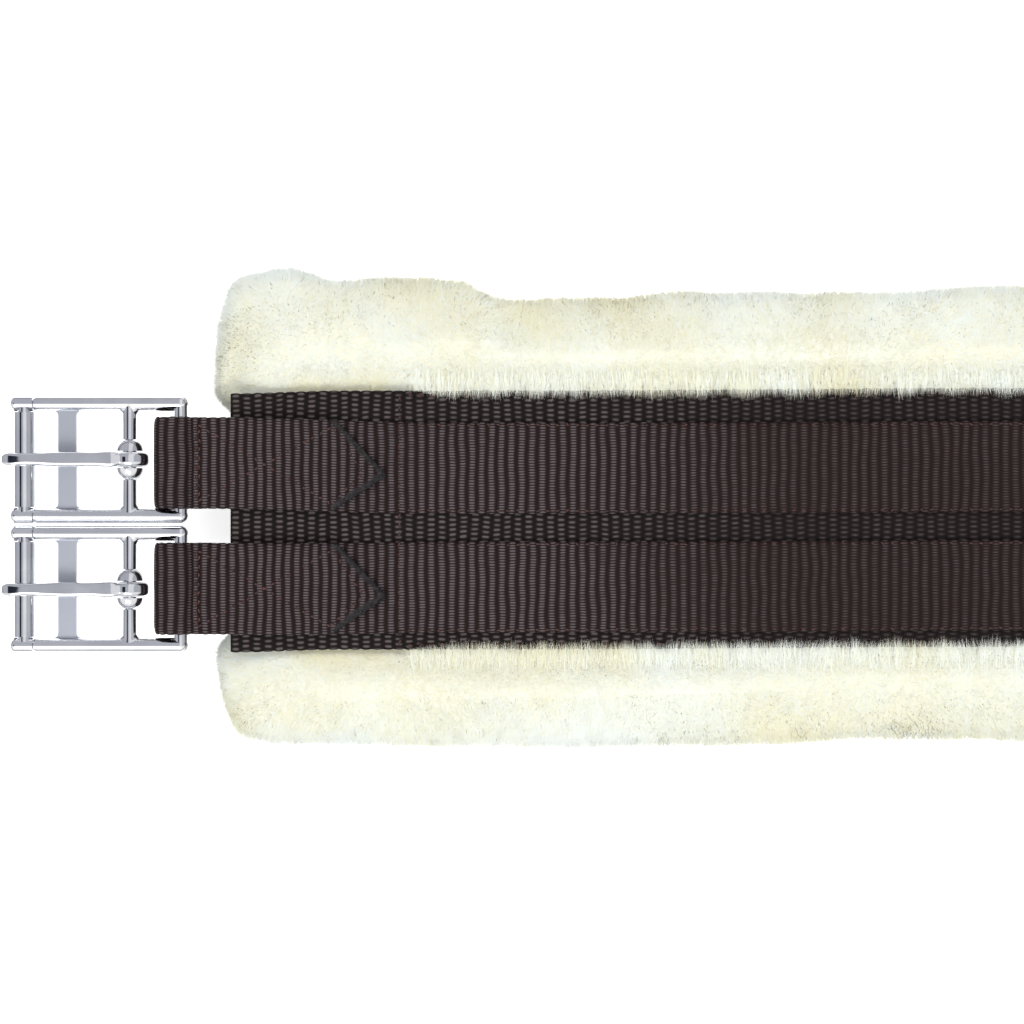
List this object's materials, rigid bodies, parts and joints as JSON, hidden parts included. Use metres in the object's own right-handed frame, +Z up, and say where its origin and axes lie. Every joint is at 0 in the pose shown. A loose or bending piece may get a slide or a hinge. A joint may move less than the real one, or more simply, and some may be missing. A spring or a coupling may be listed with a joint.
{
  "type": "saddle girth",
  "caption": "Fleece-covered saddle girth: straps on a wide base webbing with roller buckles at both ends.",
  "frame": {"origin": "under the middle of the girth, on its resting face", "axes": "+X along the girth to its off end, +Y to its front edge, +Z up, away from the horse"},
  "size_m": [0.6636, 0.124, 0.0331],
  "materials": {
    "polished_steel": "polished stainless",
    "brown_webbing": "ribbed nylon webbing",
    "brown_base_webbing": "coarse nylon webbing",
    "brown_thread": "bonded nylon thread",
    "cream_fleece": "deep cream pile",
    "felt": "needled felt"
  },
  "bodies": {
    "girth": {"fleece_cover": "cream_fleece", "padding": "felt", "base_webbing": "brown_base_webbing", "front_strap": "brown_webbing", "front_strap_seams": "brown_thread", "rear_strap": "brown_webbing", "rear_strap_seams": "brown_thread", "base_webbing_seams": "brown_thread", "near_cross_seam": "brown_thread", "off_cross_seam": "brown_thread", "near_front_box_stitching": "brown_thread", "near_rear_box_stitching": "brown_thread", "off_front_box_stitching": "brown_thread", "off_rear_box_stitching": "brown_thread"},
    "near_front_buckle": {"near_front_buckle_frame": "polished_steel"},
    "near_front_tongue": {"near_front_tongue": "polished_steel"},
    "near_front_roller": {"near_front_roller": "polished_steel"},
    "near_rear_buckle": {"near_rear_buckle_frame": "polished_steel"},
    "near_rear_tongue": {"near_rear_tongue": "polished_steel"},
    "near_rear_roller": {"near_rear_roller": "polished_steel"},
    "off_front_buckle": {"off_front_buckle_frame": "polished_steel"},
    "off_front_tongue": {"off_front_tongue": "polished_steel"},
    "off_front_roller": {"off_front_roller": "polished_steel"},
    "off_rear_buckle": {"off_rear_buckle_frame": "polished_steel"},
    "off_rear_tongue": {"off_rear_tongue": "polished_steel"},
    "off_rear_roller": {"off_rear_roller": "polished_steel"}
  },
  "joints": [
    {"name": "near_front_buckle_swing", "type": "hinge", "parent": "girth", "child": "near_front_buckle", "pos_m": [-0.2841, 0.0175, 0.02745], "axis": [0, 1, 0], "range_deg": [-90, 75]},
    {"name": "near_front_tongue_lift", "type": "hinge", "parent": "near_front_buckle", "child": "near_front_tongue", "pos_m": [-0.29785, 0.0175, 0.02745], "axis": [0, 1, 0], "range_deg": [0, 100]},
    {"name": "near_front_roller_spin", "type": "hinge", "parent": "near_front_buckle", "child": "near_front_roller", "pos_m": [-0.3263, 0.0175, 0.02745], "axis": [0, 1, 0], "continuous": true},
    {"name": "near_rear_buckle_swing", "type": "hinge", "parent": "girth", "child": "near_rear_buckle", "pos_m": [-0.2841, -0.0175, 0.02745], "axis": [0, 1, 0], "range_deg": [-90, 75]},
    {"name": "near_rear_tongue_lift", "type": "hinge", "parent": "near_rear_buckle", "child": "near_rear_tongue", "pos_m": [-0.29785, -0.0175, 0.02745], "axis": [0, 1, 0], "range_deg": [0, 100]},
    {"name": "near_rear_roller_spin", "type": "hinge", "parent": "near_rear_buckle", "child": "near_rear_roller", "pos_m": [-0.3263, -0.0175, 0.02745], "axis": [0, 1, 0], "continuous": true},
    {"name": "off_front_buckle_swing", "type": "hinge", "parent": "girth", "child": "off_front_buckle", "pos_m": [0.2841, 0.0175, 0.02745], "axis": [0, -1, 0], "range_deg": [-90, 75]},
    {"name": "off_front_tongue_lift", "type": "hinge", "parent": "off_front_buckle", "child": "off_front_tongue", "pos_m": [0.29785, 0.0175, 0.02745], "axis": [0, -1, 0], "range_deg": [0, 100]},
    {"name": "off_front_roller_spin", "type": "hinge", "parent": "off_front_buckle", "child": "off_front_roller", "pos_m": [0.3263, 0.0175, 0.02745], "axis": [0, 1, 0], "continuous": true},
    {"name": "off_rear_buckle_swing", "type": "hinge", "parent": "girth", "child": "off_rear_buckle", "pos_m": [0.2841, -0.0175, 0.02745], "axis": [0, -1, 0], "range_deg": [-90, 75]},
    {"name": "off_rear_tongue_lift", "type": "hinge", "parent": "off_rear_buckle", "child": "off_rear_tongue", "pos_m": [0.29785, -0.0175, 0.02745], "axis": [0, -1, 0], "range_deg": [0, 100]},
    {"name": "off_rear_roller_spin", "type": "hinge", "parent": "off_rear_buckle", "child": "off_rear_roller", "pos_m": [0.3263, -0.0175, 0.02745], "axis": [0, 1, 0], "continuous": true}
  ]
}
